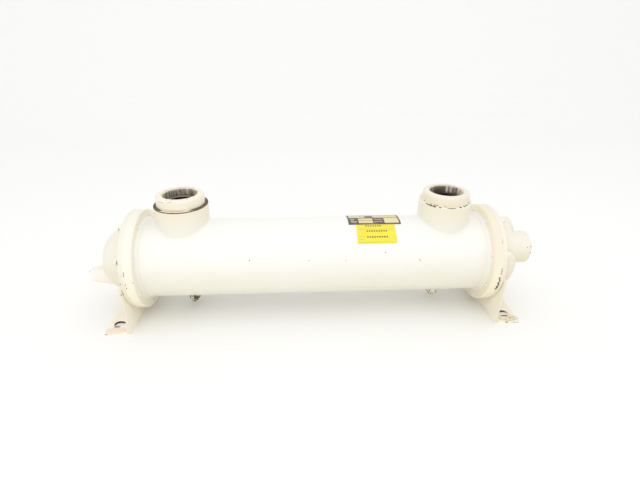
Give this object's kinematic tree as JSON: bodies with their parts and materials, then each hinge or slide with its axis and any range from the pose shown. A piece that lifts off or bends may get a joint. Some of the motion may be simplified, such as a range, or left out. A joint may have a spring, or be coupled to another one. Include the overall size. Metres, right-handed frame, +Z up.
{
  "type": "shell and tube heat exchanger",
  "caption": "Horizontal shell and tube heat exchanger with flanged bonnets, threaded nozzles on top, tube side ports on one end and bolted foot brackets.",
  "frame": {"origin": "on the floor, at the centre of the four foot slots, below the middle of the shell", "axes": "+X along the shell to the end with the two tube side ports, +Y to the back, +Z up"},
  "size_m": [1.124, 0.26, 0.326],
  "materials": {
    "shell_paint": "thick gloss ivory paint, scuffed",
    "hub_paint": "thick gloss ivory paint, chipped at the edges",
    "bonnet_left_paint": "gloss ivory paint on cast iron",
    "bonnet_right_paint": "gloss ivory paint on cast iron",
    "boss_left_paint": "gloss ivory paint, bare rusty top ledge",
    "boss_right_paint": "gloss ivory paint",
    "bushing_paint": "gloss ivory paint, bare threaded bore",
    "foot_left_paint": "gloss ivory paint on steel angle",
    "foot_right_paint": "gloss ivory paint on steel angle, chipped",
    "sheet_steel": "machined, dull",
    "tube_alloy": "drawn copper alloy, tarnished",
    "baffle_steel": "mill finish",
    "rod_steel": "mill finish",
    "gasket_fibre": "pressed fibre and rubber sheet",
    "drain_iron": "bare, dark",
    "plug_iron": "bare, dark"
  },
  "bodies": {
    "root": {"shell": "shell_paint", "hub_flange_left": "hub_paint", "hub_flange_right": "hub_paint", "tube_sheet_left": "sheet_steel", "tube_sheet_right": "sheet_steel", "tubes": "tube_alloy", "baffles": "baffle_steel", "tie_rods": "rod_steel", "gasket_left": "gasket_fibre", "gasket_right": "gasket_fibre", "bonnet_left": "bonnet_left_paint", "bonnet_right": "bonnet_right_paint", "nozzle_boss_left": "boss_left_paint", "nozzle_boss_right": "boss_right_paint", "nozzle_bushing_left": "bushing_paint", "nozzle_bushing_right": "bushing_paint", "drain_boss_left": "drain_iron", "drain_boss_right": "drain_iron", "drain_plug_left": "plug_iron", "drain_plug_right": "plug_iron", "foot_bracket_left": "foot_left_paint", "foot_bracket_right": "foot_right_paint"}
  },
  "joints": []
}
